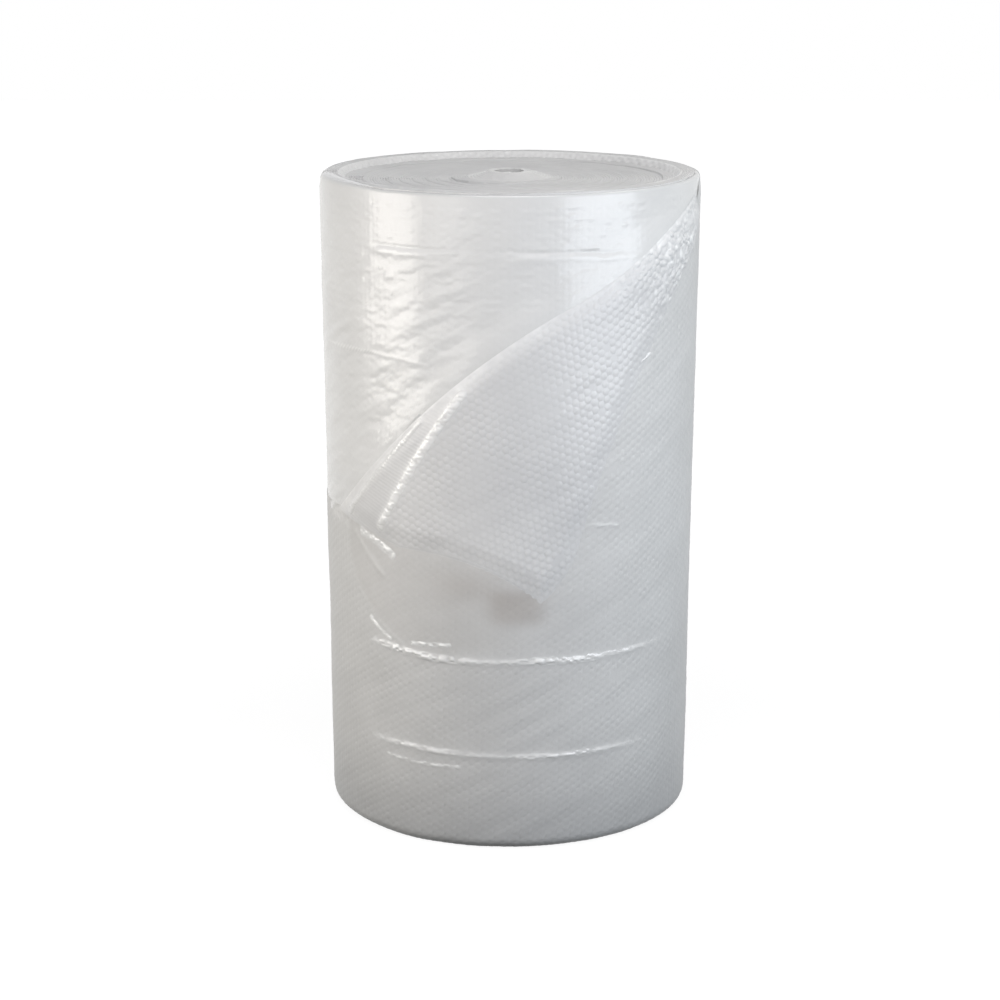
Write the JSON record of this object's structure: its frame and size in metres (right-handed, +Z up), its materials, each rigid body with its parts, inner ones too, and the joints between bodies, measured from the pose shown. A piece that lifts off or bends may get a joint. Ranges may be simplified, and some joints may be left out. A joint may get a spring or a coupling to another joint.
{
  "type": "bubble wrap roll",
  "caption": "Wide roll of translucent bubble wrap standing on end, wound without a core, with the top corner of its last turn folded down as a dog-ear over the front.",
  "frame": {"origin": "where the axis of the winding meets the floor", "axes": "+Z up along the winding, the front with the dog-ear faces -Y, and the last turn ends at the left, at -X"},
  "size_m": [0.5804, 0.5873, 1],
  "materials": {
    "film": "gloss"
  },
  "bodies": {
    "root": {"bubble_wrap_roll": "film"}
  },
  "joints": []
}
